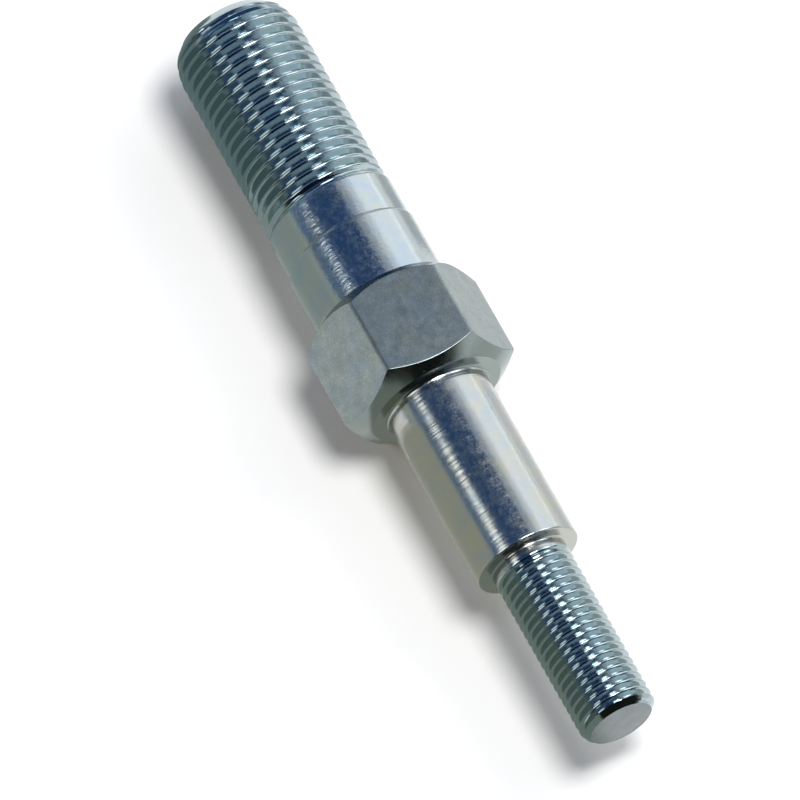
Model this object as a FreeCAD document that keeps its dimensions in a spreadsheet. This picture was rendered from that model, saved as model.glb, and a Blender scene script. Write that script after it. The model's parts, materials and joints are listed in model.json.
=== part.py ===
import FreeCAD, Part
import os
import Sketcher

# A double-ended stud for a shock absorber, forged and turned in one piece.
# From one end to the other it has the frame thread, a pilot, a locating shank,
# a hexagon, a plain shank for the absorber's eye, and the nut thread.
# X runs along the axis towards the nut thread and Z is up. The origin is the
# centre of the seat, the hexagon's face that the eye is clamped against.
# The stud lies level, on one of the hexagon's flats.

# Driving dimensions, in millimetres and degrees
SIZES = {
    "hexagon_across_flats": 19.6,
    "hexagon_corner_trim": 0.06,
    "hexagon_thickness": 14.0,
    "seat_diameter": 17.0,
    "seat_bevel_angle": 33.5,
    "back_face_diameter": 17.4,
    "back_bevel_angle": 40.0,
    "eye_shank_diameter": 13.16,
    "eye_shank_length": 24.0,
    "eye_shank_root_taper": 0.4,
    "shoulder_edge_break": 0.2,
    "neck_relief": 0.05,
    "neck_length": 1.2,
    "neck_root_taper": 0.35,
    "nut_thread_diameter": 9.8,
    "nut_thread_pitch": 1.11,
    "nut_thread_depth": 0.72,
    "nut_thread_length": 22.9,
    "nut_thread_chamfer": 0.8,
    "locating_shank_diameter": 16.76,
    "locating_shank_length": 8.2,
    "locating_step_taper": 0.4,
    "pilot_diameter": 16.24,
    "pilot_length": 5.85,
    "pilot_step_taper": 0.3,
    "frame_thread_diameter": 15.88,
    "frame_thread_pitch": 1.411,
    "frame_thread_depth": 0.92,
    "frame_thread_length": 27.6,
    "frame_thread_chamfer": 1.4,
    "frame_thread_lead_length": 2.3,
    "frame_thread_lead_drop": 0.64,
}

HEXAGON_SIDES = 6

# Shares of a thread's pitch: how far its first groove's centre is from its start, at the underside
NUT_THREAD_FIRST_GROOVE = 1.1
FRAME_THREAD_FIRST_GROOVE = 0.83

# How far past the crest each flank is cut, by depth, and how far its cut reaches over the other
# flank's side of the groove, by pitch
MOUTH_RISE = 0.1
OVERLAP = 0.1

os.makedirs("parts", exist_ok=True)
doc = FreeCAD.newDocument("shock_absorber_bolt")
sheet = doc.addObject("Spreadsheet::Sheet", "sizes")
for row, (alias, value) in enumerate(SIZES.items(), start=1):
    sheet.set(f"A{row}", alias)
    sheet.set(f"B{row}", str(value))
    sheet.setAlias(f"B{row}", alias)
doc.recompute()


def size(alias):
    """The expression that reads one size from the sheet."""
    return f"{sheet.Name}.{alias}"


def radius(alias):
    """The expression of half a diameter."""
    return f"{size(alias)} / 2"


def number(expression):
    """What an expression comes to with the sheet's sizes."""
    result = sheet.evalExpression(expression)
    return getattr(result, "Value", result)


# Places along the axis, each from its neighbour nearer to the seat
shoulder = size("eye_shank_length")
nut_thread_start = f"({shoulder} + {size('neck_length')})"
nut_thread_end = f"({nut_thread_start} + {size('nut_thread_length')})"
back_face = f"(0 - {size('hexagon_thickness')})"
pilot_start = f"({back_face} - {size('locating_shank_length')})"
frame_thread_start = f"({pilot_start} - {size('pilot_length')})"
frame_thread_end = f"({frame_thread_start} - {size('frame_thread_length')})"
frame_thread_lead_end = f"({frame_thread_end} + {size('frame_thread_chamfer')})"

# Radii that follow from the sizes, and how far each bevel runs back at the hexagon's corners
hexagon_side = f"({size('hexagon_across_flats')} / (2 * cos(30)))"
corner_radius = f"({hexagon_side} - {size('hexagon_corner_trim')})"
neck_radius = f"({radius('nut_thread_diameter')} - {size('neck_relief')})"
lead_radius = f"({radius('frame_thread_diameter')} - {size('frame_thread_lead_drop')})"
seat_bevel = f"(({corner_radius} - {radius('seat_diameter')}) * tan({size('seat_bevel_angle')}))"
back_bevel = f"(({corner_radius} - {radius('back_face_diameter')}) * tan({size('back_bevel_angle')}))"


def origin_part(body, role):
    """One of a body's own planes or axes."""
    return next(item for item in body.Origin.OriginFeatures if item.Role == role)


def new_sketch(body, name, plane_role):
    sketch = body.newObject("Sketcher::SketchObject", name)
    sketch.AttachmentSupport = [(origin_part(body, plane_role), "")]
    sketch.MapMode = "FlatFace"
    return sketch


def draw_closed_outline(sketch, corners):
    """Draws straight sides from corner to corner and back, and ties each corner to its expressions."""
    spots = [FreeCAD.Vector(number(along), number(across), 0) for along, across in corners]
    for this_spot, next_spot in zip(spots, spots[1:] + spots[:1]):
        sketch.addGeometry(Part.LineSegment(this_spot, next_spot), False)
    for side in range(len(spots)):
        next_side = (side + 1) % len(spots)
        sketch.addConstraint(Sketcher.Constraint("Coincident", side, 2, next_side, 1))
    for side, (spot, (along, across)) in enumerate(zip(spots, corners)):
        tie_distance(sketch, "DistanceX", side, spot.x, along)
        tie_distance(sketch, "DistanceY", side, spot.y, across)


def tie_distance(sketch, kind, side, distance, expression):
    """Holds the first end of a side at a distance from the sketch's origin."""
    constraint = sketch.addConstraint(Sketcher.Constraint(kind, -1, 1, side, 1, distance))
    sketch.setExpression(f"Constraints[{constraint}]", expression)


def add_turned_blank(body):
    """Every section, shoulder and cone round the axis, with a bevelled collar for the hexagon."""
    sketch = new_sketch(body, "turned_outline", "XZ_Plane")
    nut_end = [
        (nut_thread_end, "0"),
        (nut_thread_end, f"{radius('nut_thread_diameter')} - {size('nut_thread_chamfer')}"),
        (f"{nut_thread_end} - {size('nut_thread_chamfer')}", radius("nut_thread_diameter")),
        (nut_thread_start, radius("nut_thread_diameter")),
        (nut_thread_start, neck_radius),
        (f"{shoulder} + {size('neck_root_taper')}", neck_radius),
        (shoulder, f"{neck_radius} + {size('neck_root_taper')}"),
        (shoulder, f"{radius('eye_shank_diameter')} - {size('shoulder_edge_break')}"),
        (f"{shoulder} - {size('shoulder_edge_break')}", radius("eye_shank_diameter")),
        (size("eye_shank_root_taper"), radius("eye_shank_diameter")),
        ("0", f"{radius('eye_shank_diameter')} + {size('eye_shank_root_taper')}"),
    ]
    collar = [
        ("0", radius("seat_diameter")),
        (f"0 - {seat_bevel}", corner_radius),
        (f"{back_face} + {back_bevel}", corner_radius),
        (back_face, radius("back_face_diameter")),
    ]
    frame_end = [
        (back_face, radius("locating_shank_diameter")),
        (pilot_start, radius("locating_shank_diameter")),
        (f"{pilot_start} - {size('locating_step_taper')}", radius("pilot_diameter")),
        (f"{frame_thread_start} + {size('pilot_step_taper')}", radius("pilot_diameter")),
        (frame_thread_start, radius("frame_thread_diameter")),
        (f"{frame_thread_lead_end} + {size('frame_thread_lead_length')}", radius("frame_thread_diameter")),
        (frame_thread_lead_end, lead_radius),
        (frame_thread_end, f"{lead_radius} - {size('frame_thread_chamfer')}"),
        (frame_thread_end, "0"),
    ]
    draw_closed_outline(sketch, nut_end + collar + frame_end)
    blank = body.newObject("PartDesign::Revolution", "turned_blank")
    blank.Profile = sketch
    blank.ReferenceAxis = (origin_part(body, "X_Axis"), [""])
    blank.Angle = 360.0


def add_hexagon_flats(body):
    """Cuts the six flats from the collar, one of them straight down. The bevels end them in arcs."""
    sketch = new_sketch(body, "hexagon_outline", "YZ_Plane")
    turns = [360 / HEXAGON_SIDES * corner for corner in range(HEXAGON_SIDES)]
    corners = [(f"{hexagon_side} * cos({turn})", f"{hexagon_side} * sin({turn})") for turn in turns]
    draw_closed_outline(sketch, corners)
    rim_radius = f"2 * {hexagon_side}"
    circle = Part.Circle(FreeCAD.Vector(), FreeCAD.Vector(0, 0, 1), number(rim_radius))
    rim = sketch.addGeometry(circle, False)
    sketch.addConstraint(Sketcher.Constraint("Coincident", rim, 3, -1, 1))
    constraint = sketch.addConstraint(Sketcher.Constraint("Radius", rim, number(rim_radius)))
    sketch.setExpression(f"Constraints[{constraint}]", rim_radius)
    flats = body.newObject("PartDesign::Pocket", "hexagon_flats")
    flats.Profile = sketch
    flats.Type = "Length"
    flats.setExpression("Length", size("hexagon_thickness"))


def add_thread(body, name, start, direction, first_groove):
    """Cuts a right-hand thread from near its start to past the free end, flank by flank.

    The flanks of neighbouring turns meet in a sharp crest, and the two flanks of a groove in a sharp root.
    The groove starts at the stud's underside, so its outlines lie below the axis.
    """
    pitch = size(f"{name}_pitch")
    depth = size(f"{name}_depth")
    crest = radius(f"{name}_diameter")
    centre = f"({start} + {direction} * {first_groove} * {pitch})"
    root = f"0 - ({crest} - {depth})"
    mouth = f"0 - ({crest} + {MOUTH_RISE} * {depth})"
    for flank, lean in (("near", -direction), ("far", direction)):
        sketch = new_sketch(body, f"{name}_{flank}_flank_outline", "XZ_Plane")
        draw_closed_outline(sketch, [
            (centre, root),
            (f"{centre} + {lean} * (1 + {MOUTH_RISE}) * {pitch} / 2", mouth),
            (f"{centre} - {lean} * {OVERLAP} * {pitch}", mouth),
        ])
        groove = body.newObject("PartDesign::SubtractiveHelix", f"{name}_{flank}_flank")
        groove.Profile = sketch
        groove.ReferenceAxis = (origin_part(body, "X_Axis"), [""])
        groove.Mode = "pitch-height-angle"
        groove.LeftHanded = False
        groove.Reversed = direction < 0
        groove.setExpression("Pitch", pitch)
        groove.setExpression("Height", size(f"{name}_length"))
        doc.recompute()


def make_stud():
    body = doc.addObject("PartDesign::Body", "stud")
    body.Label = "shock_absorber_bolt"
    add_turned_blank(body)
    doc.recompute()
    blank_volume = body.Shape.Volume
    add_hexagon_flats(body)
    doc.recompute()
    if not body.Shape.Volume < blank_volume:
        raise ValueError("the hexagon's flats cut nothing")
    add_thread(body, "nut_thread", nut_thread_start, 1, NUT_THREAD_FIRST_GROOVE)
    add_thread(body, "frame_thread", frame_thread_start, -1, FRAME_THREAD_FIRST_GROOVE)
    body.Placement = FreeCAD.Placement()
    return body


def export_parts(bodies):
    """Writes each body's shape under its label, once nothing in the document has failed."""
    failed = [item.Name for item in doc.Objects if "Invalid" in item.State or "Error" in item.State]
    failed += [body.Label for body in bodies if body.Shape.isNull() or not body.Shape.isValid()]
    if failed:
        raise ValueError(f"failed: {', '.join(failed)}")
    for body in bodies:
        body.Shape.exportStep(f"parts/{body.Label}.step")
        print(body.Label, round(body.Shape.Volume, 1), "mm3,", len(body.Shape.Solids), "solid")


export_parts([make_stud()])
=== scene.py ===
"""A double-ended stud for a shock absorber, in bright zinc plate, lying on a pale studio floor.

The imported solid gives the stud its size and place. Its surface is made again here as one closed piece, with
the rounded crests and roots of the threads, the small rounded edges and the marks that turning and forging
leave.
"""

import json
import math

import bmesh
import bpy
import numpy as np
from bpy.props import FloatProperty, FloatVectorProperty, IntProperty, PointerProperty
from mathutils import Matrix, Vector


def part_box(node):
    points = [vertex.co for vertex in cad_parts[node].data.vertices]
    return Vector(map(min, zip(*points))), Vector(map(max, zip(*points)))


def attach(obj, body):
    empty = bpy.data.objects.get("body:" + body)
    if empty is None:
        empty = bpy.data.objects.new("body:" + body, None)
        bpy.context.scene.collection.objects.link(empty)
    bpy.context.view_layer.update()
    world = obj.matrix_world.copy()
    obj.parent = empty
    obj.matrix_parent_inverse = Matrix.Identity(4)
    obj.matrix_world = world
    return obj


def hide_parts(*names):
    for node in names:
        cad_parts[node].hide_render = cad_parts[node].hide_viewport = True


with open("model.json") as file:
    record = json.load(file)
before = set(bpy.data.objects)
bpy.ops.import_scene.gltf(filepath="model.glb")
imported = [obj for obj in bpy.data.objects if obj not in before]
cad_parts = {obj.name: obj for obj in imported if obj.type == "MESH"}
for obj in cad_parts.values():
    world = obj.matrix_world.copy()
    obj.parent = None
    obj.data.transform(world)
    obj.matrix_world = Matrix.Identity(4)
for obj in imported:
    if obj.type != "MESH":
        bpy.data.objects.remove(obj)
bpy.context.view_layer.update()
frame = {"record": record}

bl_info = {
    "name": "Shock absorber stud",
    "version": (1, 0, 0),
    "blender": (4, 5, 0),
    "location": "3D View > Sidebar > Stud",
    "description": "Makes a zinc-plated stud with a thread at each end, and the stage that it lies on",
    "category": "Mesh",
}

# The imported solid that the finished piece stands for, and what the frame says of it
NODE = "shock_absorber_bolt"
BODY = "root"
PIECE = "zinc_plated_stud"
MM = 0.001
SOLID_LOW, SOLID_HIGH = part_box(NODE)
MOUNTS = {mount["name"]: mount for mount in frame["record"]["mounts"]}

# What turning, rolling and forging leave in the surface. Each has its cells to a metre, its height in
# millimetres, and how much of that count is left along the axis and across it.
RELIEFS = {
    "pits": (2600.0, 0.005, 1.0, 1.0),
    "fine_pits": (2600.0, 0.003, 1.0, 1.0),
    "dents": (900.0, 0.007, 1.0, 1.0),
    "grain": (4500.0, 0.002, 1.0, 1.0),
    "coarse_grain": (2300.0, 0.014, 1.0, 1.0),
    "fine_rings": (3200.0, 0.012, 1.0, 0.05),
    "deep_rings": (2800.0, 0.018, 1.0, 0.25),
    "feed_rings": (1500.0, 0.022, 1.0, 0.06),
}

# Finishes, in the order of the stud's material slots. Film share is how much of the film's shift to blue and
# yellow shows, dulling how much duller than its roughness the dullest grains are, and sparkle how much the
# brightest specks stand out.
FINISHES = {
    "locating_zinc": {
        "tint": (0.93, 0.98, 1.01), "film_share": 1.0, "roughness": 0.12, "dulling": 0.15, "sparkle": 0.0,
        "reliefs": ("deep_rings", "coarse_grain"),
    },
    "hexagon_zinc": {
        "tint": (0.485, 0.54, 0.535), "film_share": 0.75, "roughness": 0.285, "dulling": 0.06,
        "sparkle": 0.45, "reliefs": ("dents",),
    },
    "seat_zinc": {
        "tint": (0.5, 0.57, 0.55), "film_share": 0.5, "roughness": 0.14, "dulling": 0.08, "sparkle": 0.0,
        "reliefs": ("grain",),
    },
    "eye_shank_zinc": {
        "tint": (0.97, 0.955, 0.91), "film_share": 1.0, "roughness": 0.14, "dulling": 0.14, "sparkle": 0.0,
        "reliefs": ("feed_rings", "fine_rings", "pits"),
    },
    "thread_zinc": {
        "tint": (0.88, 1.0, 1.04), "film_share": 0.4, "roughness": 0.1, "dulling": 0.05, "sparkle": 0.0,
        "reliefs": ("fine_pits", "dents", "coarse_grain"),
    },
    "end_face_zinc": {
        "tint": (0.63, 0.66, 0.67), "film_share": 0.3, "roughness": 0.45, "dulling": 0.1, "sparkle": 0.2,
        "reliefs": ("grain",),
    },
}
LOCATING, HEXAGON, SEAT, EYE_SHANK, THREAD, END_FACE = range(len(FINISHES))

HEXAGON_SIDES = 6

# How softly the hexagon's rounded corners run into its flats
CORNER_BLEND = 0.1 * MM

# The most of a straight run that the extra ring beside a rounded corner takes
SUPPORT_SHARE = 0.4

# How many turns before its groove a thread's rows begin, whole turns that keep its phase above zero, and how
# softly it runs into the rounded free end, by its depth
EARLY_TURNS = 0.25
PHASE_LIFT = 4.0
NOSE_ROUNDING = 0.2

# How far both free ends stay inside the solid's box
END_INSET = 0.001 * MM

# Points closer than this are one, and edges that bend more than this stay sharp in the shading
WELD_DISTANCE = 0.002 * MM
SHARP_EDGE = math.radians(34.0)


def mount_radius(name):
    """The radius of one of the frame's round mounts, in metres."""
    return MOUNTS[name]["dims"]["r_mm"] * MM


def length(label, description, default):
    """A length in metres that a user can change."""
    return FloatProperty(
        name=label, description=description, default=default, min=0.0, precision=5, unit="LENGTH"
    )


def tilt(label, description, degrees):
    """An angle that a user can change."""
    return FloatProperty(
        name=label, description=description, default=math.radians(degrees), subtype="ANGLE"
    )


def portion(label, description, default, most=1.0):
    """A share that a user can change."""
    return FloatProperty(
        name=label, description=description, default=default, min=0.0, max=most, subtype="FACTOR"
    )


def amount(label, description, default, least=0.0):
    """A plain value that a user can change."""
    return FloatProperty(name=label, description=description, default=default, min=least)


def number(label, description, default, least):
    """A whole number that a user can change."""
    return IntProperty(name=label, description=description, default=default, min=least)


def tone(label, description, default):
    """A colour that a user can change."""
    return FloatVectorProperty(
        name=label, description=description, default=default, size=3, subtype="COLOR"
    )


class StudSizes(bpy.types.PropertyGroup):
    """The turned sections and the hexagon."""

    hexagon_half_width: length("Half across flats", "From the axis to a flat of the hexagon", SOLID_HIGH.z)
    hexagon_corner_radius: length("Corner radius", "From the axis to a rounded corner", SOLID_HIGH.y)
    hexagon_thickness: length("Hexagon thickness", "From the seat to the hexagon's back", 14.0 * MM)
    seat_radius: length("Seat radius", "Where the bevel meets the seat", 8.5 * MM)
    back_face_radius: length("Back face radius", "Where the bevel meets the hexagon's back", 8.7 * MM)
    seat_bevel: tilt("Seat bevel", "The bevel's angle to the seat", 33.5)
    back_bevel: tilt("Back bevel", "The bevel's angle to the back", 40.0)
    eye_shank_radius: length("Eye shank radius", "The plain shank for the eye", mount_radius("eye_shank"))
    eye_shank_length: length("Eye shank length", "From the seat to the shoulder", 24.0 * MM)
    eye_shank_fillet: length("Eye shank fillet", "The fillet at the seat", 0.55 * MM)
    neck_radius: length("Neck radius", "The relief behind the nut thread", 4.85 * MM)
    neck_length: length("Neck length", "From the shoulder to the nut thread", 1.2 * MM)
    neck_fillet: length("Neck fillet", "The fillet at the shoulder", 0.3 * MM)
    locating_radius: length("Locating radius", "The locating shank", mount_radius("locating_shank"))
    locating_length: length("Locating length", "From the hexagon's back to the step", 8.2 * MM)
    pilot_radius: length("Pilot radius", "The pilot beside the frame thread", mount_radius("pilot"))
    pilot_length: length("Pilot length", "From the step to the frame thread", 5.85 * MM)
    step_taper: length("Step taper", "The slope from the locating shank to the pilot, by length", 0.4 * MM)
    pilot_taper: length("Pilot taper", "The slope from the pilot to the frame thread, by length", 0.3 * MM)
    edge_radius: length("Edge radius", "How far edges are rounded", 0.14 * MM)
    shoulder_radius: length("Shoulder edge", "How far the shoulder's edge is rounded", 0.22 * MM)
    columns_per_side: number("Columns per side", "Columns of faces to each side of the hexagon", 22, 4)
    corner_crowding: portion("Corner crowding", "How much closer the columns lie at corners", 0.92, 0.95)
    arc_steps: number("Arc steps", "Rings of faces in a rounded edge", 5, 1)


class ThreadSizes:
    """The form that both threads share."""

    rows_per_turn: number("Rows per turn", "Rows of faces in one turn", 14, 6)
    row_crowding: portion("Row crowding", "How much closer the rows lie on a crest than in a root", 0.5, 0.9)
    crest_share: portion("Crest share", "The crest's part of the pitch", 0.2)
    crown: amount("Crown", "How far the crest is crowned, by depth", 0.5)
    root_share: portion("Root share", "The flat root's part of the pitch", 0.1)
    rounding: portion("Rounding", "How far crest and root are rounded, by depth", 0.16)
    run_out: amount("Run-out", "Turns in which the groove reaches its full depth", 0.9, 0.01)


class FrameThreadSizes(ThreadSizes, bpy.types.PropertyGroup):
    """The big thread."""

    pitch: length("Pitch", "From crest to crest", 1.411 * MM)
    crest_radius: length("Crest radius", "From the axis to a crest", 7.94 * MM)
    depth: length("Depth", "From crest to root", 0.92 * MM)
    chamfer: length("Chamfer", "The chamfer at the free end, by radius and by length", 1.4 * MM)
    lead_drop: length("Lead drop", "How much lower the lead starts than the crests", 0.64 * MM)
    lead_length: length("Lead length", "From the chamfer to the full crests", 2.3 * MM)
    end_rounding: length("End rounding", "How far the chamfer and the lead run into each other", 0.6 * MM)
    groove_phase: portion("Groove phase", "Where the first groove lies, in turns", 0.58)


class NutThreadSizes(ThreadSizes, bpy.types.PropertyGroup):
    """The small thread."""

    pitch: length("Pitch", "From crest to crest", 1.11 * MM)
    crest_radius: length("Crest radius", "From the axis to a crest", 4.9 * MM)
    depth: length("Depth", "From crest to root", 0.72 * MM)
    chamfer: length("Chamfer", "The chamfer at the free end, by radius and by length", 0.8 * MM)
    lead_drop: length("Lead drop", "How much lower the lead starts than the crests", 0.06 * MM)
    lead_length: length("Lead length", "From the chamfer to the full crests", 0.4 * MM)
    end_rounding: length("End rounding", "How far the chamfer and the lead run into each other", 0.1 * MM)
    groove_phase: portion("Groove phase", "Where the first groove lies, in turns", 0.35)


class FinishColours(bpy.types.PropertyGroup):
    """The colours of the plating."""

    zinc: tone("Zinc", "The plating's own colour", (0.47, 0.49, 0.49))
    blue_cast: tone("Blue cast", "What the thinnest film makes of it", (0.86, 0.97, 1.08))
    yellow_cast: tone("Yellow cast", "What the thickest film makes of it", (1.06, 1.04, 0.88))


class StageSettings(bpy.types.PropertyGroup):
    """Camera and floor."""

    azimuth: tilt("Azimuth", "The camera's bearing", 63.05)
    elevation: tilt("Elevation", "The camera's height over the floor", 63.34)
    lens: amount("Lens", "A long lens, in millimetres", 1500.0)
    millimetres_per_pixel: amount("Scale", "Millimetres to a pixel at the stud's middle", 0.119)
    nut_end_across: amount("Nut end across", "Pixels from the left to the nut end's centre", 621.3)
    nut_end_down: amount("Nut end down", "Pixels from the top to the nut end's centre", 723.4)
    floor_colour: tone("Floor", "The floor's colour", (0.97, 0.965, 0.955))


class Nodes:
    """Adds nodes to one tree and feeds their sockets."""

    def __init__(self, tree):
        self.tree = tree

    def feed(self, socket, value):
        """Links a socket to another, or sets its value."""
        if isinstance(value, bpy.types.NodeSocket):
            self.tree.links.new(value, socket)
        else:
            socket.default_value = value

    def add(self, kind, feeds=None, **settings):
        """Adds a node with its settings and feeds its sockets by name or number."""
        node = self.tree.nodes.new(kind)
        for name, value in settings.items():
            setattr(node, name, value)
        for socket, value in (feeds or {}).items():
            self.feed(node.inputs[socket], value)
        return node

    def math(self, operation, *values):
        """The result of one sum."""
        node = self.add("ShaderNodeMath", operation=operation)
        for socket, value in zip(node.inputs, values):
            self.feed(socket, value)
        return node.outputs[0]

    def map_range(self, value, low, high, to_low, to_high, kind="LINEAR"):
        """A value brought from one range to another, and held within it."""
        feeds = {"Value": value, "From Min": low, "From Max": high, "To Min": to_low, "To Max": to_high}
        return self.add("ShaderNodeMapRange", feeds, interpolation_type=kind).outputs["Result"]


def column_angles(count, crowding):
    """The angles of the columns, from a corner at +Y towards +Z, crowded at the hexagon's corners."""
    even = np.linspace(0.0, 2.0 * math.pi, count, endpoint=False)
    return even - crowding * np.sin(HEXAGON_SIDES * even) / HEXAGON_SIDES


def hexagon_radius(angles, half_width, corner_radius):
    """The hexagon's radius at each angle. Its corners are the collar's, and run softly into the flats."""
    side = 2.0 * math.pi / HEXAGON_SIDES
    from_corner = np.abs((angles + side / 2.0) % side - side / 2.0)
    flat = half_width / np.cos(side / 2.0 - from_corner)
    overlap = np.maximum(CORNER_BLEND - np.abs(flat - corner_radius), 0.0) / CORNER_BLEND
    return np.minimum(flat, corner_radius) - overlap**2 * CORNER_BLEND / 4.0


def rounded_outline(corners, steps, support):
    """Rings along an outline whose corners are rounded, each ring as places along the axis and radii.

    A corner is (along, radius, rounding, finish of the run that follows it). Extra rings close to each
    rounded corner keep the runs between the corners straight in their shading.
    """
    count = len(corners[0][1])
    spots = [np.stack([np.broadcast_to(along, count), np.broadcast_to(radius, count)], axis=1)
             for along, radius, _, _ in corners]
    rings, finishes = [], []

    def put(ring, finish):
        rings.append(ring)
        finishes.append(finish)

    for place, (spot, (_, _, rounding, finish)) in enumerate(zip(spots, corners)):
        before_finish = corners[max(place - 1, 0)][3]
        before = spots[place - 1] - spot if place else None
        after = spots[place + 1] - spot if place + 1 < len(spots) else None
        if not rounding or before is None or after is None:
            put(spot, finish)
            continue
        reach_before = np.linalg.norm(before, axis=1, keepdims=True)
        reach_after = np.linalg.norm(after, axis=1, keepdims=True)
        back, on = before / reach_before, after / reach_after
        half_turn = 0.5 * (math.pi - np.arccos(np.clip(np.sum(back * on, axis=1, keepdims=True), -1.0, 1.0)))
        tangent = rounding * np.tan(half_turn)
        start, end = spot + back * tangent, spot + on * tangent
        put(start + back * np.minimum(support, SUPPORT_SHARE * (reach_before - tangent)), before_finish)
        for step in range(steps + 1):
            share = step / steps
            arc = (1 - share) ** 2 * start + 2 * share * (1 - share) * spot + share**2 * end
            put(arc, before_finish if share < 0.5 else finish)
        put(end + on * np.minimum(support, SUPPORT_SHARE * (reach_after - tangent)), finish)
    return rings, finishes


def stud_outline(sizes, hexagon):
    """The corners of the turned sections and the hexagon, from the frame thread to the nut thread."""
    step = -(sizes.hexagon_thickness + sizes.locating_length)
    thread_start = step - sizes.pilot_length
    thread_radius = bpy.context.scene.frame_thread.crest_radius
    nut_radius = bpy.context.scene.nut_thread.crest_radius
    back = -sizes.hexagon_thickness
    back_bevel = back + (hexagon - sizes.back_face_radius) * math.tan(sizes.back_bevel)
    seat_bevel = -(hexagon - sizes.seat_radius) * math.tan(sizes.seat_bevel)
    shoulder = sizes.eye_shank_length
    nut_start = shoulder + sizes.neck_length
    relief = nut_radius - sizes.neck_radius
    edge = sizes.edge_radius
    everywhere = np.ones_like(hexagon)
    return [
        (thread_start, thread_radius * everywhere, 0.0, LOCATING),
        (thread_start + sizes.pilot_taper, sizes.pilot_radius * everywhere, edge, LOCATING),
        (step - sizes.step_taper, sizes.pilot_radius * everywhere, edge, LOCATING),
        (step, sizes.locating_radius * everywhere, edge, LOCATING),
        (back, sizes.locating_radius * everywhere, edge, SEAT),
        (back, sizes.back_face_radius * everywhere, edge, SEAT),
        (back_bevel, hexagon, edge, HEXAGON),
        (seat_bevel, hexagon, edge, SEAT),
        (0.0, sizes.seat_radius * everywhere, edge, SEAT),
        (0.0, sizes.eye_shank_radius * everywhere, sizes.eye_shank_fillet, EYE_SHANK),
        (shoulder, sizes.eye_shank_radius * everywhere, sizes.shoulder_radius, EYE_SHANK),
        (shoulder, sizes.neck_radius * everywhere, sizes.neck_fillet, EYE_SHANK),
        (nut_start - relief, sizes.neck_radius * everywhere, 0.0, THREAD),
        (nut_start, nut_radius * everywhere, 0.0, THREAD),
    ]


def make_body_mesh(sizes):
    """The turned sections and the hexagon, open where the threads join them."""
    angles = column_angles(sizes.columns_per_side * HEXAGON_SIDES, sizes.corner_crowding)
    hexagon = hexagon_radius(angles, sizes.hexagon_half_width, sizes.hexagon_corner_radius)
    rings, finishes = rounded_outline(stud_outline(sizes, hexagon), sizes.arc_steps, sizes.edge_radius)
    columns = len(angles)
    vertices = []
    for ring in rings:
        along, radii = ring[:, 0], ring[:, 1]
        vertices += np.stack([along, radii * np.cos(angles), radii * np.sin(angles)], axis=1).tolist()
    faces, slots = [], []
    for ring in range(len(rings) - 1):
        for column in range(columns):
            aside = (column + 1) % columns
            here, next_ring = ring * columns, (ring + 1) * columns
            faces.append((here + column, here + aside, next_ring + aside, next_ring + column))
            slots.append(finishes[ring])
    mesh = bpy.data.meshes.new(PIECE)
    mesh.from_pydata(vertices, [], faces)
    mesh.polygons.foreach_set("material_index", slots)
    return mesh


THREAD_INPUTS = {
    "NodeSocketFloat": (
        "Start", "Direction", "Length", "Pitch", "Crest Radius", "Depth", "Groove Phase", "Crest Share",
        "Crown", "Root Share", "Rounding", "Run Out", "Chamfer", "Lead Drop", "Lead Length", "End Rounding",
        "Crowding", "Row Crowding",
    ),
    "NodeSocketInt": ("Columns", "Rows", "Rows Per Turn"),
    "NodeSocketMaterial": ("Finish",),
}


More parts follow.
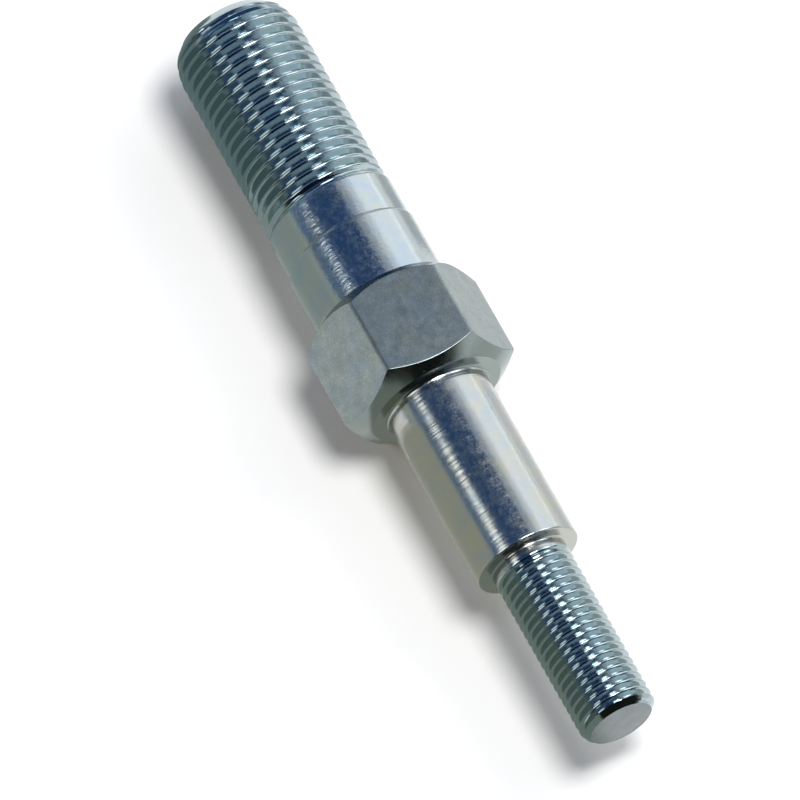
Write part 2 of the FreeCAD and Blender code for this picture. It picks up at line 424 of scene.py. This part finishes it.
def make_thread_tree():
    """A right-hand thread as one surface: a grid wound round the axis, its rows slanted to follow the helix.

    Start is where the groove begins and the free end lies one Length away in Direction, 1 or -1 along X.
    """
    tree = bpy.data.node_groups.new("rolled_thread", "GeometryNodeTree")
    tree.is_modifier = True
    for kind, names in THREAD_INPUTS.items():
        for name in names:
            tree.interface.new_socket(name=name, in_out="INPUT", socket_type=kind)
    tree.interface.new_socket(name="Thread", in_out="OUTPUT", socket_type="NodeSocketGeometry")
    nodes = Nodes(tree)
    given = nodes.add("NodeGroupInput").outputs
    math_node = nodes.math
    around = math_node("ADD", given["Columns"], 1.0)
    grid = nodes.add("GeometryNodeMeshGrid", {"Vertices X": given["Rows"], "Vertices Y": around})

    # Each point's row and column, its angle, and its share of a turn
    index = nodes.add("GeometryNodeInputIndex").outputs["Index"]
    row = math_node("FLOOR", math_node("DIVIDE", math_node("ADD", index, 0.5), around))
    column = math_node("SUBTRACT", index, math_node("MULTIPLY", row, around))
    even = math_node("MULTIPLY", math_node("DIVIDE", column, given["Columns"]), 2.0 * math.pi)
    wave = math_node("SINE", math_node("MULTIPLY", even, float(HEXAGON_SIDES)))
    crowded = math_node("DIVIDE", math_node("MULTIPLY", wave, given["Crowding"]), float(HEXAGON_SIDES))
    angle = math_node("SUBTRACT", even, crowded)
    turn = math_node("MULTIPLY", math_node("DIVIDE", angle, 2.0 * math.pi), given["Direction"])

    # How far along the thread it lies, from the start to the free end. The rows begin a little before the
    # start, where they all fall together, and crowd at the crests.
    even_turns = math_node("SUBTRACT", math_node("DIVIDE", row, given["Rows Per Turn"]), EARLY_TURNS)
    from_crest = math_node("SUBTRACT", math_node("SUBTRACT", even_turns, given["Groove Phase"]), 0.5)
    row_wave = math_node("SINE", math_node("MULTIPLY", from_crest, 2.0 * math.pi))
    shift = math_node("DIVIDE", math_node("MULTIPLY", row_wave, given["Row Crowding"]), 2.0 * math.pi)
    turns_along = math_node("ADD", math_node("SUBTRACT", even_turns, shift), turn)
    first_turn = math_node("MULTIPLY", math_node("ADD", given["Direction"], 1.0), 0.5)
    unbound = math_node("MULTIPLY", math_node("SUBTRACT", turns_along, first_turn), given["Pitch"])
    along = math_node("MINIMUM", math_node("MAXIMUM", unbound, 0.0), given["Length"])

    # The groove's depth there, from 0 on the crest to 1 in the root
    phase = math_node("SUBTRACT", math_node("DIVIDE", along, given["Pitch"]), turn)
    lifted = math_node("ADD", math_node("SUBTRACT", phase, given["Groove Phase"]), PHASE_LIFT)
    share = math_node("FRACT", lifted)
    slant = math_node("ABSOLUTE", math_node("SUBTRACT", math_node("MULTIPLY", share, 2.0), 1.0))
    flank = math_node("SUBTRACT", math_node("SUBTRACT", 1.0, given["Crest Share"]), given["Root Share"])
    raw = math_node("DIVIDE", math_node("SUBTRACT", slant, given["Crest Share"]), flank)
    rooted = math_node("SMOOTH_MIN", raw, 1.0, given["Rounding"])
    crown = math_node("MULTIPLY", math_node("MULTIPLY", slant, slant), given["Crown"])
    cut = math_node("SMOOTH_MAX", rooted, crown, given["Rounding"])
    run_out = math_node("MULTIPLY", given["Run Out"], given["Pitch"])
    begun = nodes.map_range(along, 0.0, run_out, 0.0, 1.0, "SMOOTHSTEP")
    depth = math_node("MULTIPLY", math_node("MULTIPLY", cut, begun), given["Depth"])
    threaded = math_node("SUBTRACT", given["Crest Radius"], depth)

    # The chamfer and the lead, which the free end never passes
    from_end = math_node("SUBTRACT", given["Length"], along)
    lead_radius = math_node("SUBTRACT", given["Crest Radius"], given["Lead Drop"])
    end_radius = math_node("SUBTRACT", lead_radius, given["Chamfer"])
    chamfer = math_node("ADD", end_radius, from_end)
    past_chamfer = math_node("SUBTRACT", from_end, given["Chamfer"])
    slope = math_node("DIVIDE", given["Lead Drop"], given["Lead Length"])
    lead = math_node("ADD", lead_radius, math_node("MULTIPLY", past_chamfer, slope))
    nose = math_node("SMOOTH_MIN", chamfer, lead, given["End Rounding"])
    nose_blend = math_node("MULTIPLY", given["Depth"], NOSE_ROUNDING)
    radius = math_node("SMOOTH_MIN", threaded, nose, nose_blend)

    place = nodes.add("ShaderNodeCombineXYZ", {
        "X": math_node("ADD", given["Start"], math_node("MULTIPLY", along, given["Direction"])),
        "Y": math_node("MULTIPLY", radius, math_node("COSINE", angle)),
        "Z": math_node("MULTIPLY", radius, math_node("SINE", angle)),
    })
    wound = nodes.add("GeometryNodeSetPosition", {
        "Geometry": grid.outputs["Mesh"], "Position": place.outputs["Vector"],
    })
    closed = nodes.add("GeometryNodeMergeByDistance", {
        "Geometry": wound.outputs["Geometry"], "Distance": WELD_DISTANCE,
    })
    real = nodes.add("GeometryNodeRealizeInstances", {"Geometry": closed.outputs["Geometry"]})
    finished = nodes.add("GeometryNodeSetMaterial", {
        "Geometry": real.outputs["Geometry"], "Material": given["Finish"],
    })
    nodes.add("NodeGroupOutput", {"Thread": finished.outputs["Geometry"]})
    return tree


def make_thread_mesh(tree, thread, start, end, columns, crowding, finish):
    """Winds one thread with the tree and returns it as a plain mesh.

    The sockets that have no value here take the thread's setting of the same name.
    """
    turns = math.ceil(abs(end - start) / thread.pitch) + 2
    values = {
        "Start": start,
        "Direction": math.copysign(1.0, end - start),
        "Length": abs(end - start),
        "Crowding": crowding,
        "Columns": columns,
        "Rows": turns * thread.rows_per_turn + 1,
        "Finish": finish,
    }
    carrier = bpy.data.objects.new("thread_carrier", bpy.data.meshes.new("thread_carrier"))
    bpy.context.scene.collection.objects.link(carrier)
    modifier = carrier.modifiers.new("thread", "NODES")
    modifier.node_group = tree
    for socket in tree.interface.items_tree:
        if socket.in_out == "INPUT":
            if socket.name not in values:
                values[socket.name] = getattr(thread, socket.name.lower().replace(" ", "_"))
            modifier[socket.identifier] = values[socket.name]
    depsgraph = bpy.context.evaluated_depsgraph_get()
    mesh = bpy.data.meshes.new_from_object(carrier.evaluated_get(depsgraph))
    carrier.modifiers.clear()
    bpy.data.objects.remove(carrier)
    return mesh


def weld_stud(body_mesh, thread_meshes):
    """Joins the threads to the body, closes the two ends and points every face outwards."""
    joined = bmesh.new()
    joined.from_mesh(body_mesh)
    for thread_mesh in thread_meshes:
        known = len(joined.faces)
        joined.from_mesh(thread_mesh)
        joined.faces.ensure_lookup_table()
        for face in joined.faces[known:]:
            face.material_index = THREAD
    bmesh.ops.remove_doubles(joined, verts=joined.verts, dist=WELD_DISTANCE)
    open_edges = [edge for edge in joined.edges if edge.is_boundary]
    caps = bmesh.ops.holes_fill(joined, edges=open_edges)["faces"]
    if len(caps) != 2:
        raise RuntimeError(f"the stud has {len(caps)} open ends after the threads were joined")
    for face in caps:
        face.material_index = END_FACE
    bmesh.ops.poke(joined, faces=caps)
    bmesh.ops.recalc_face_normals(joined, faces=joined.faces)
    for face in joined.faces:
        face.smooth = True
    for edge in joined.edges:
        edge.smooth = edge.calc_face_angle(0.0) < SHARP_EDGE
    joined.to_mesh(body_mesh)
    joined.free()


# The patterns in the plating: cells to a metre, detail and roughness of the noise, and the two of its values
# between which the pattern runs from none to all
PATTERNS = {
    "specks": (6000.0, 1.0, 0.5, 0.54, 0.74),
    "patches": (600.0, 4.0, 0.6, 0.35, 0.65),
    "dull_grains": (4200.0, 2.0, 0.5, 0.36, 0.68),
    "dull_clouds": (1300.0, 4.0, 0.6, 0.36, 0.7),
}

# How far the patches go by the sparkle, and the two parts of the dulling
PATCH_SHARE = 0.25
DULL_GRAIN_SHARE = 0.4
DULL_CLOUD_SHARE = 0.6

# The film's noise, and the values at which it is fully blue, clear and fully yellow
FILM_CELLS = 330.0
FILM_DETAIL = 5.0
FILM_ROUGHNESS = 0.65
FILM_BLUE, FILM_CLEAR, FILM_YELLOW = 0.3, 0.5, 0.72
WHITE = (1.0, 1.0, 1.0, 1.0)


def zinc_noise(nodes, cells, detail=2.0, roughness=0.5, left_by_axis=(1.0, 1.0, 1.0)):
    """Noise on the object's own coordinates, with so many cells to a metre, times what is left by axis."""
    coordinates = nodes.add("ShaderNodeTexCoord").outputs["Object"]
    mapping = nodes.add("ShaderNodeMapping", {"Vector": coordinates, "Scale": left_by_axis})
    noise = nodes.add("ShaderNodeTexNoise", {
        "Vector": mapping.outputs["Vector"], "Scale": cells, "Detail": detail, "Roughness": roughness,
    })
    return noise.outputs["Fac"]


def zinc_pattern(nodes, name, none, full):
    """One of the plating's patterns, from its value where there is none of it to that where it is full."""
    cells, detail, roughness, low, high = PATTERNS[name]
    return nodes.map_range(zinc_noise(nodes, cells, detail, roughness), low, high, none, full)


def zinc_film(nodes):
    """The cast of the film over the plating: blue where it is thin and yellow where it is thick."""
    colours = bpy.context.scene.zinc_colours
    noise = zinc_noise(nodes, FILM_CELLS, FILM_DETAIL, FILM_ROUGHNESS)
    film = nodes.add("ShaderNodeValToRGB", {"Fac": noise})
    blue, yellow = film.color_ramp.elements
    blue.position, blue.color = FILM_BLUE, (*colours.blue_cast, 1.0)
    yellow.position, yellow.color = FILM_YELLOW, (*colours.yellow_cast, 1.0)
    film.color_ramp.elements.new(FILM_CLEAR).color = WHITE
    return film.outputs["Color"]


def zinc_relief(nodes, reliefs):
    """The normal that the named reliefs leave, one on top of the other."""
    normal = None
    for cells, height, along, across in (RELIEFS[relief] for relief in reliefs):
        noise = zinc_noise(nodes, cells, left_by_axis=(along, across, across))
        feeds = {"Height": noise, "Strength": 1.0, "Distance": height * MM}
        if normal:
            feeds["Normal"] = normal
        normal = nodes.add("ShaderNodeBump", feeds).outputs["Normal"]
    return normal


def make_zinc(name, tint, film_share, roughness, dulling, sparkle, reliefs):
    """Bright zinc plate of one tint, with its film, bright specks and patches, dull grains and reliefs."""
    material = bpy.data.materials.new(name)
    material.use_nodes = True
    material.node_tree.nodes.clear()
    nodes = Nodes(material.node_tree)
    own_colour = [own * part for own, part in zip(bpy.context.scene.zinc_colours.zinc, tint)]
    colour = nodes.add("ShaderNodeMix", {
        "Factor": film_share, "A": (*own_colour, 1.0), "B": zinc_film(nodes),
    }, data_type="RGBA", blend_type="MULTIPLY").outputs["Result"]
    specks = zinc_pattern(nodes, "specks", 1.0, 1.0 + sparkle)
    patches = zinc_pattern(nodes, "patches", 1.0 - PATCH_SHARE * sparkle, 1.0 + PATCH_SHARE * sparkle)
    bright = nodes.math("MULTIPLY", specks, patches)
    base = nodes.add("ShaderNodeVectorMath", {0: colour, "Scale": bright}, operation="SCALE")
    dull_grains = zinc_pattern(nodes, "dull_grains", 0.0, DULL_GRAIN_SHARE)
    dull_clouds = zinc_pattern(nodes, "dull_clouds", 0.0, DULL_CLOUD_SHARE)
    dullness = nodes.math("ADD", dull_grains, dull_clouds)
    shader = nodes.add("ShaderNodeBsdfPrincipled", {
        "Base Color": base.outputs["Vector"],
        "Metallic": 1.0,
        "Roughness": nodes.math("MULTIPLY_ADD", dullness, dulling, roughness),
        "Normal": zinc_relief(nodes, reliefs),
    })
    nodes.add("ShaderNodeOutputMaterial", {"Surface": shader.outputs["BSDF"]})
    return material


class MESH_OT_stud_body(bpy.types.Operator):
    """Make the turned sections and the hexagon, open at both threads"""

    bl_idname = "mesh.stud_body"
    bl_label = "Turned body"

    def execute(self, context):
        mesh = make_body_mesh(context.scene.stud_sizes)
        for name, finish in FINISHES.items():
            mesh.materials.append(make_zinc(name, **finish))
        stud = bpy.data.objects.new(PIECE, mesh)
        context.scene.collection.objects.link(stud)
        return {"FINISHED"}


class MESH_OT_stud_threads(bpy.types.Operator):
    """Wind both threads, join them to the body and close the stud"""

    bl_idname = "mesh.stud_threads"
    bl_label = "Threads"

    def execute(self, context):
        scene = context.scene
        sizes = scene.stud_sizes
        stud = bpy.data.objects[PIECE]
        tree = make_thread_tree()
        columns = sizes.columns_per_side * HEXAGON_SIDES
        frame_start = -(sizes.hexagon_thickness + sizes.locating_length + sizes.pilot_length)
        nut_start = sizes.eye_shank_length + sizes.neck_length
        ends = (
            (scene.frame_thread, frame_start, SOLID_LOW.x + END_INSET),
            (scene.nut_thread, nut_start, SOLID_HIGH.x - END_INSET),
        )
        finish = stud.data.materials[THREAD]
        meshes = [
            make_thread_mesh(tree, thread, start, end, columns, sizes.corner_crowding, finish)
            for thread, start, end in ends
        ]
        weld_stud(stud.data, meshes)
        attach(stud, BODY)
        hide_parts(NODE)
        return {"FINISHED"}


def camera_axes(azimuth, elevation):
    """The camera's backward, rightward and upward directions."""
    back = Vector((
        math.sin(azimuth) * math.cos(elevation),
        -math.cos(azimuth) * math.cos(elevation),
        math.sin(elevation),
    ))
    right = Vector((0.0, 0.0, 1.0)).cross(back).normalized()
    return back, right, back.cross(right)


FRAME_PIXELS = 800
SENSOR_WIDTH = 36.0
CLIP_NEAR = 0.1
CLIP_FAR = 20.0


def make_camera(settings):
    """A long lens that puts the nut end's centre on its pixel, at the scale set for the stud's middle."""
    back, right, up = camera_axes(settings.azimuth, settings.elevation)
    pixel = settings.millimetres_per_pixel * MM
    distance = FRAME_PIXELS * pixel * settings.lens / SENSOR_WIDTH
    nut_end = Vector((SOLID_HIGH.x, 0.0, 0.0))
    middle = Vector(((SOLID_LOW.x + SOLID_HIGH.x) / 2.0, 0.0, 0.0))
    nearer = (nut_end - middle).dot(back)
    shown = pixel * (distance - nearer) / distance
    across = (settings.nut_end_across - FRAME_PIXELS / 2) * shown
    down = (settings.nut_end_down - FRAME_PIXELS / 2) * shown
    aim = nut_end - right * across + up * down - back * nearer
    data = bpy.data.cameras.new("camera")
    data.lens = settings.lens
    data.sensor_width = SENSOR_WIDTH
    data.clip_start = CLIP_NEAR
    data.clip_end = CLIP_FAR
    camera = bpy.data.objects.new("camera", data)
    camera.location = aim + back * distance
    camera.rotation_mode = "QUATERNION"
    camera.rotation_quaternion = (-back).to_track_quat("-Z", "Y")
    bpy.context.scene.collection.objects.link(camera)
    bpy.context.scene.camera = camera


# Each lamp's bearing round the X axis, from +Y up to +Z and on to -Y, and its lean towards +X, in degrees.
# Its width lies along X and its height across, in metres. Its brightness is what a mirror shows, where 1 is
# white. A shape fills a share of its width by its height.
LAMP_DISTANCE = 0.6
LAMPS = {
    "key": {
        "bearing": 79.0, "lean": 6.0, "width": 0.25, "height": 0.25, "brightness": 19.0,
        "colour": (1.0, 0.99, 0.97), "shape": "ELLIPSE",
    },
    "panel": {
        "bearing": 35.5, "lean": -29.0, "width": 0.33, "height": 0.76, "brightness": 0.42,
        "colour": (0.97, 1.0, 0.98), "shape": "RECTANGLE",
    },
    "panel_middle": {
        "bearing": 29.5, "lean": -29.0, "width": 0.33, "height": 0.6, "brightness": 0.47,
        "colour": (0.98, 1.0, 0.98), "shape": "RECTANGLE",
    },
    "panel_foot": {
        "bearing": 25.5, "lean": -29.0, "width": 0.33, "height": 0.43, "brightness": 0.48,
        "colour": (1.0, 1.0, 0.98), "shape": "RECTANGLE",
    },
    "panel_end": {
        "bearing": 40.0, "lean": 5.0, "width": 0.42, "height": 0.55, "brightness": 0.7,
        "colour": (0.97, 1.0, 0.98), "shape": "RECTANGLE",
    },
    "front_fill": {
        "bearing": 18.0, "lean": 45.0, "width": 0.4, "height": 0.3, "brightness": 0.5,
        "colour": (0.95, 1.0, 1.0), "shape": "RECTANGLE",
    },
    "back_fill": {
        "bearing": 108.0, "lean": -43.0, "width": 0.12, "height": 0.45, "brightness": 0.6,
        "colour": (0.9, 1.0, 1.02), "shape": "RECTANGLE",
    },
    "side_light": {
        "bearing": 137.0, "lean": -5.5, "width": 0.38, "height": 0.26, "brightness": 2.1,
        "colour": (1.0, 1.0, 0.92), "shape": "ELLIPSE",
    },
    "window": {
        "bearing": 41.0, "lean": -2.0, "width": 0.2, "height": 0.26, "brightness": 4.5,
        "colour": (1.0, 1.0, 1.0), "shape": "ELLIPSE",
    },
}
SHAPE_SHARES = {"ELLIPSE": math.pi / 4.0, "RECTANGLE": 1.0}

# Painted reflections: glowing cards on the floor that the camera doesn't see, that light nothing and cast
# no shadow, so only the metal mirrors them. A near-black one beyond the nut thread paints dark reflections,
# grey ones along the shaded side of the threads and shanks paint shade into them, and pale ones along the
# other side paint pale reflections. Each has the plan of its two ends, its height, its colour, and how far
# it fades away towards its ends and its top. The painted shade cards stand close on the shaded side, and
# their feet reach under the stud.
# Where the painted shade cards and the painted pale reflection cards stand, and their sizes
SHADE_SIDE = -0.0098
PAINTED_SHADE_CARD = {"height": 0.0163, "fade": 0.0012, "foot": 0.009}
PALE_SIDE = 0.02
PAINTED_PALE_CARD = {"height": 0.0135, "fade": 0.003}
PAINTED_REFLECTION_CARDS = {
    # A painted dark reflection: a near-black glow that only the bevel, the chamfer and the threads mirror
    "black_card": {
        "near": (0.075, -0.12), "far": (0.075, 0.06), "height": 0.06, "fade": 0.03,
        "colour": (0.01, 0.012, 0.01),
    },
    # Painted shade in the reflections: grey glows that darken what the shaded side of the threads and shanks
    # mirrors
    "shade_by_frame_thread": {
        "near": (-0.09, SHADE_SIDE), "far": (-0.03, SHADE_SIDE), "colour": (0.2, 0.26, 0.255),
        **PAINTED_SHADE_CARD,
    },
    "shade_by_locating_shank": {
        "near": (-0.0312, SHADE_SIDE), "far": (-0.0145, SHADE_SIDE), "colour": (0.38, 0.43, 0.4),
        **PAINTED_SHADE_CARD,
    },
    "shade_by_eye_shank": {
        "near": (0.0005, SHADE_SIDE), "far": (0.0235, SHADE_SIDE), "colour": (0.44, 0.45, 0.39),
        **PAINTED_SHADE_CARD,
    },
    "shade_by_nut_thread": {
        "near": (0.0223, SHADE_SIDE), "far": (0.06, SHADE_SIDE), "colour": (0.25, 0.29, 0.25),
        **PAINTED_SHADE_CARD,
    },
    # Painted pale reflections: pale glows that only the lit side of the threads mirrors
    "pale_by_frame_thread": {
        "near": (-0.09, PALE_SIDE), "far": (-0.0215, PALE_SIDE), "colour": (0.66, 0.7, 0.72),
        **PAINTED_PALE_CARD,
    },
    "pale_by_nut_thread": {
        "near": (-0.0065, PALE_SIDE), "far": (0.06, PALE_SIDE), "colour": (0.93, 0.95, 0.95),
        **PAINTED_PALE_CARD,
    },
}


def make_painted_reflection_glow(name, near, far, high, colour, fade):
    """A plain glow for a painted reflection, fading away towards the card's ends and its top."""
    material = bpy.data.materials.new(name)
    material.use_nodes = True
    material.node_tree.nodes.clear()
    nodes = Nodes(material.node_tree)
    here = nodes.add("ShaderNodeTexCoord").outputs["Object"]
    run = Vector(far) - Vector(near)
    direction = run.normalized()
    feeds = {0: here, 1: (*direction, 0.0)}
    along = nodes.add("ShaderNodeVectorMath", feeds, operation="DOT_PRODUCT").outputs["Value"]
    start = Vector(near).dot(direction)
    upwards = nodes.add("ShaderNodeSeparateXYZ", {"Vector": here}).outputs["Z"]
    solid = nodes.map_range(along, start, start + fade, 0.0, 1.0, "SMOOTHSTEP")
    for value, edge in ((along, start + run.length), (upwards, high)):
        faded = nodes.map_range(value, edge - fade, edge, 1.0, 0.0, "SMOOTHSTEP")
        solid = nodes.math("MULTIPLY", solid, faded)
    clear = nodes.add("ShaderNodeBsdfTransparent")
    paint = nodes.add("ShaderNodeEmission", {"Color": (*colour, 1.0), "Strength": 1.0})
    both = nodes.add("ShaderNodeMixShader", {
        "Fac": solid, 1: clear.outputs["BSDF"], 2: paint.outputs["Emission"],
    })
    nodes.add("ShaderNodeOutputMaterial", {"Surface": both.outputs["Shader"]})
    return material


def make_painted_reflection_card(name, near, far, height, colour, fade, foot=0.0):
    """Stands a glowing card beside the stud as a painted reflection, where the camera itself doesn't see it
    and it lights nothing.
    """
    low = SOLID_LOW.z
    high = low + height
    mesh = bpy.data.meshes.new(name)
    corners = [(*near, low), (*far, low), (*far, high), (*near, high)]
    faces = [(0, 1, 2, 3)]
    if foot:
        corners += [(far[0], far[1] + foot, low), (near[0], near[1] + foot, low)]
        faces.append((1, 0, 5, 4))
    mesh.from_pydata(corners, [], faces)
    card = bpy.data.objects.new(name, mesh)
    card.visible_camera = False
    card.visible_diffuse = False
    card.visible_shadow = False
    bpy.context.scene.collection.objects.link(card)
    mesh.materials.append(make_painted_reflection_glow(name, near, far, high, colour, fade))


def make_lamp(name, bearing, lean, width, height, brightness, colour, shape):
    """A soft lamp that faces the stud's middle, hidden from the camera itself."""
    around, aside = math.radians(bearing), math.radians(lean)
    back = Vector((
        math.sin(aside),
        math.cos(aside) * math.cos(around),
        math.cos(aside) * math.sin(around),
    ))
    up = back.cross(Vector((1.0, 0.0, 0.0))).normalized()
    data = bpy.data.lights.new(name, "AREA")
    data.shape = shape
    data.size, data.size_y = width, height
    data.energy = brightness * math.pi * SHAPE_SHARES[shape] * width * height
    data.color = colour
    lamp = bpy.data.objects.new(name, data)
    lamp.matrix_world = Matrix((up.cross(back), up, back)).transposed().to_4x4()
    lamp.location = back * LAMP_DISTANCE
    lamp.visible_camera = False
    bpy.context.scene.collection.objects.link(lamp)


FLOOR_HALF_WIDTH = 6.0
FLOOR_GAP = 0.01 * MM
FLOOR_GLOW = 0.05
FLOOR_GLOW_TINT = (1.0, 0.6, 0.1, 1.0)


def make_floor_paint(colour):
    """Matt paint with a glow of its own that only the eye, reflections and glass see."""
    material = bpy.data.materials.new("floor")
    material.use_nodes = True
    material.node_tree.nodes.clear()
    nodes = Nodes(material.node_tree)
    diffuse = nodes.add("ShaderNodeBsdfDiffuse", {"Color": (*colour, 1.0)})
    path = nodes.add("ShaderNodeLightPath").outputs
    seen = nodes.math("MAXIMUM", path["Is Camera Ray"], path["Is Glossy Ray"])
    seen = nodes.math("MAXIMUM", seen, path["Is Transmission Ray"])
    strength = nodes.math("MULTIPLY", seen, FLOOR_GLOW)
    glow = nodes.add("ShaderNodeEmission", {"Color": FLOOR_GLOW_TINT, "Strength": strength})
    both = nodes.add("ShaderNodeAddShader", {0: diffuse.outputs["BSDF"], 1: glow.outputs["Emission"]})
    nodes.add("ShaderNodeOutputMaterial", {"Surface": both.outputs["Shader"]})
    return material


def make_floor(colour):
    """A pale floor just under the hexagon's lower flat."""
    level = SOLID_LOW.z - FLOOR_GAP
    reach = FLOOR_HALF_WIDTH
    plan = ((-reach, -reach), (reach, -reach), (reach, reach), (-reach, reach))
    mesh = bpy.data.meshes.new("floor")
    mesh.from_pydata([(*corner, level) for corner in plan], [], [(0, 1, 2, 3)])
    floor = bpy.data.objects.new("floor", mesh)
    bpy.context.scene.collection.objects.link(floor)
    mesh.materials.append(make_floor_paint(colour))


# The room is dark blue overhead. By bearing round the X axis, in radians, each band's colour takes over from
# the one before it between its two bearings: a paler blue and a wall on the shaded side, and the far wall.
ROOM_OVERHEAD = (0.02, 0.07, 0.19, 1.0)
ROOM_BANDS = (
    (2.1, 2.7, (0.12, 0.19, 0.31, 1.0)),
    (2.82, 2.87, (0.45, 0.5, 0.46, 1.0)),
    (0.14, 0.1, (0.6, 0.63, 0.6, 1.0)),
)

# The direction in which the room falls dark, how far towards it that starts and ends, and what light is left
DARK_SIDE = (0.9, -0.44, 0.0)
DARK_START, DARK_END = 0.1, 0.5
DARK_STRENGTH = 0.1


def make_world():
    """A dim room: dark overhead and beyond the nut thread, with pale walls low on both sides."""
    world = bpy.data.worlds.new("room")
    world.use_nodes = True
    world.node_tree.nodes.clear()
    nodes = Nodes(world.node_tree)
    direction = nodes.add("ShaderNodeTexCoord").outputs["Generated"]
    _, across, height = nodes.add("ShaderNodeSeparateXYZ", {"Vector": direction}).outputs
    feeds = {0: direction, 1: DARK_SIDE}
    towards_dark = nodes.add("ShaderNodeVectorMath", feeds, operation="DOT_PRODUCT").outputs["Value"]
    lit = nodes.map_range(towards_dark, DARK_START, DARK_END, 1.0, DARK_STRENGTH, "SMOOTHSTEP")
    bearing = nodes.math("ARCTAN2", height, across)
    colour = ROOM_OVERHEAD
    for low, high, band in ROOM_BANDS:
        share = nodes.map_range(bearing, low, high, 0.0, 1.0)
        feeds = {"Factor": share, "A": colour, "B": band}
        colour = nodes.add("ShaderNodeMix", feeds, data_type="RGBA").outputs["Result"]
    background = nodes.add("ShaderNodeBackground", {"Color": colour, "Strength": lit})
    nodes.add("ShaderNodeOutputWorld", {"Surface": background.outputs["Background"]})
    bpy.context.scene.world = world


class SCENE_OT_stud_stage(bpy.types.Operator):
    """Make the floor, the painted reflection cards, the lamps, the room and the camera"""

    bl_idname = "scene.stud_stage"
    bl_label = "Stage"

    def execute(self, context):
        settings = context.scene.stud_stage
        make_floor(settings.floor_colour)
        for name, card in PAINTED_REFLECTION_CARDS.items():
            make_painted_reflection_card(name, **card)
        make_world()
        for name, lamp in LAMPS.items():
            make_lamp(name, **lamp)
        make_camera(settings)
        context.scene.view_settings.view_transform = "Standard"
        return {"FINISHED"}


class VIEW3D_PT_stud(bpy.types.Panel):
    """The stud's operators and sizes"""

    bl_label = "Stud"
    bl_idname = "VIEW3D_PT_stud"
    bl_space_type = "VIEW_3D"
    bl_region_type = "UI"
    bl_category = "Stud"

    def draw(self, context):
        layout = self.layout
        for operator in OPERATORS:
            layout.operator(operator.bl_idname)
        for name in SETTINGS:
            group = getattr(context.scene, name)
            for prop in group.bl_rna.properties:
                if prop.identifier not in ("rna_type", "name"):
                    layout.prop(group, prop.identifier)


SETTINGS = {
    "stud_sizes": StudSizes,
    "frame_thread": FrameThreadSizes,
    "nut_thread": NutThreadSizes,
    "zinc_colours": FinishColours,
    "stud_stage": StageSettings,
}
OPERATORS = (MESH_OT_stud_body, MESH_OT_stud_threads, SCENE_OT_stud_stage)
CLASSES = (*SETTINGS.values(), *OPERATORS, VIEW3D_PT_stud)


def register():
    """Makes the classes and the settings known."""
    for item in CLASSES:
        bpy.utils.register_class(item)
    for name, group in SETTINGS.items():
        setattr(bpy.types.Scene, name, PointerProperty(type=group))


def unregister():
    """Takes the settings and the classes away again."""
    for name in SETTINGS:
        delattr(bpy.types.Scene, name)
    for item in reversed(CLASSES):
        bpy.utils.unregister_class(item)


def main():
    """Makes the stud and its stage."""
    register()
    bpy.ops.mesh.stud_body()
    bpy.ops.mesh.stud_threads()
    bpy.ops.scene.stud_stage()


if __name__ == "__main__":
    main()
